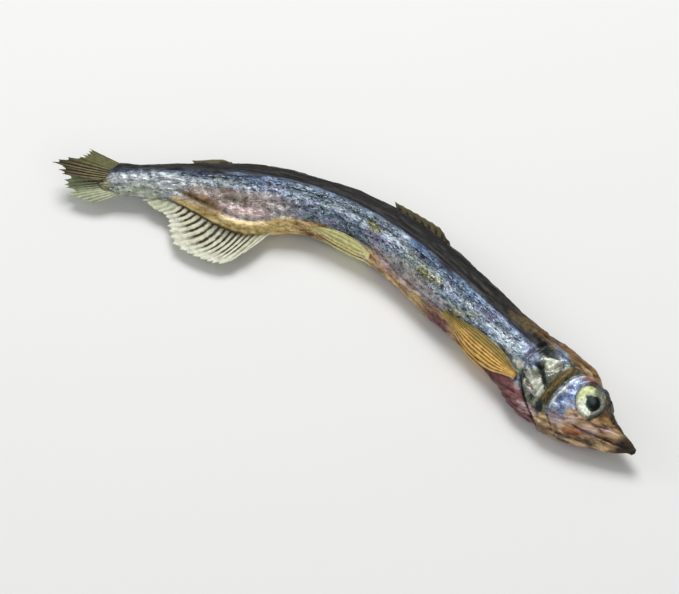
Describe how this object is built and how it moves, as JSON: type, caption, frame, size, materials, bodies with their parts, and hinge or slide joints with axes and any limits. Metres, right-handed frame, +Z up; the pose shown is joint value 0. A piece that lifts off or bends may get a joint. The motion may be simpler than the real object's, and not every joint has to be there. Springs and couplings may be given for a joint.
{
  "type": "dried capelin",
  "caption": "Whole dried small fish lying on its side: slender curved body, pointed head with gill cover and eye, fan-shaped anal fin, folded paired fins and a frayed forked tail.",
  "frame": {"origin": "middle of the box around the fish, at the height of the table it lies on", "axes": "+X along the fish towards the head, +Y towards its back, +Z up, out of the right flank"},
  "size_m": [0.1428, 0.0324, 0.0099],
  "materials": {
    "dried_skin": "dried fish skin: dark olive back, silvery blue flank, amber belly and head, pale straw fins; satin sheen"
  },
  "bodies": {
    "root": {"capelin": "dried_skin"}
  },
  "joints": []
}
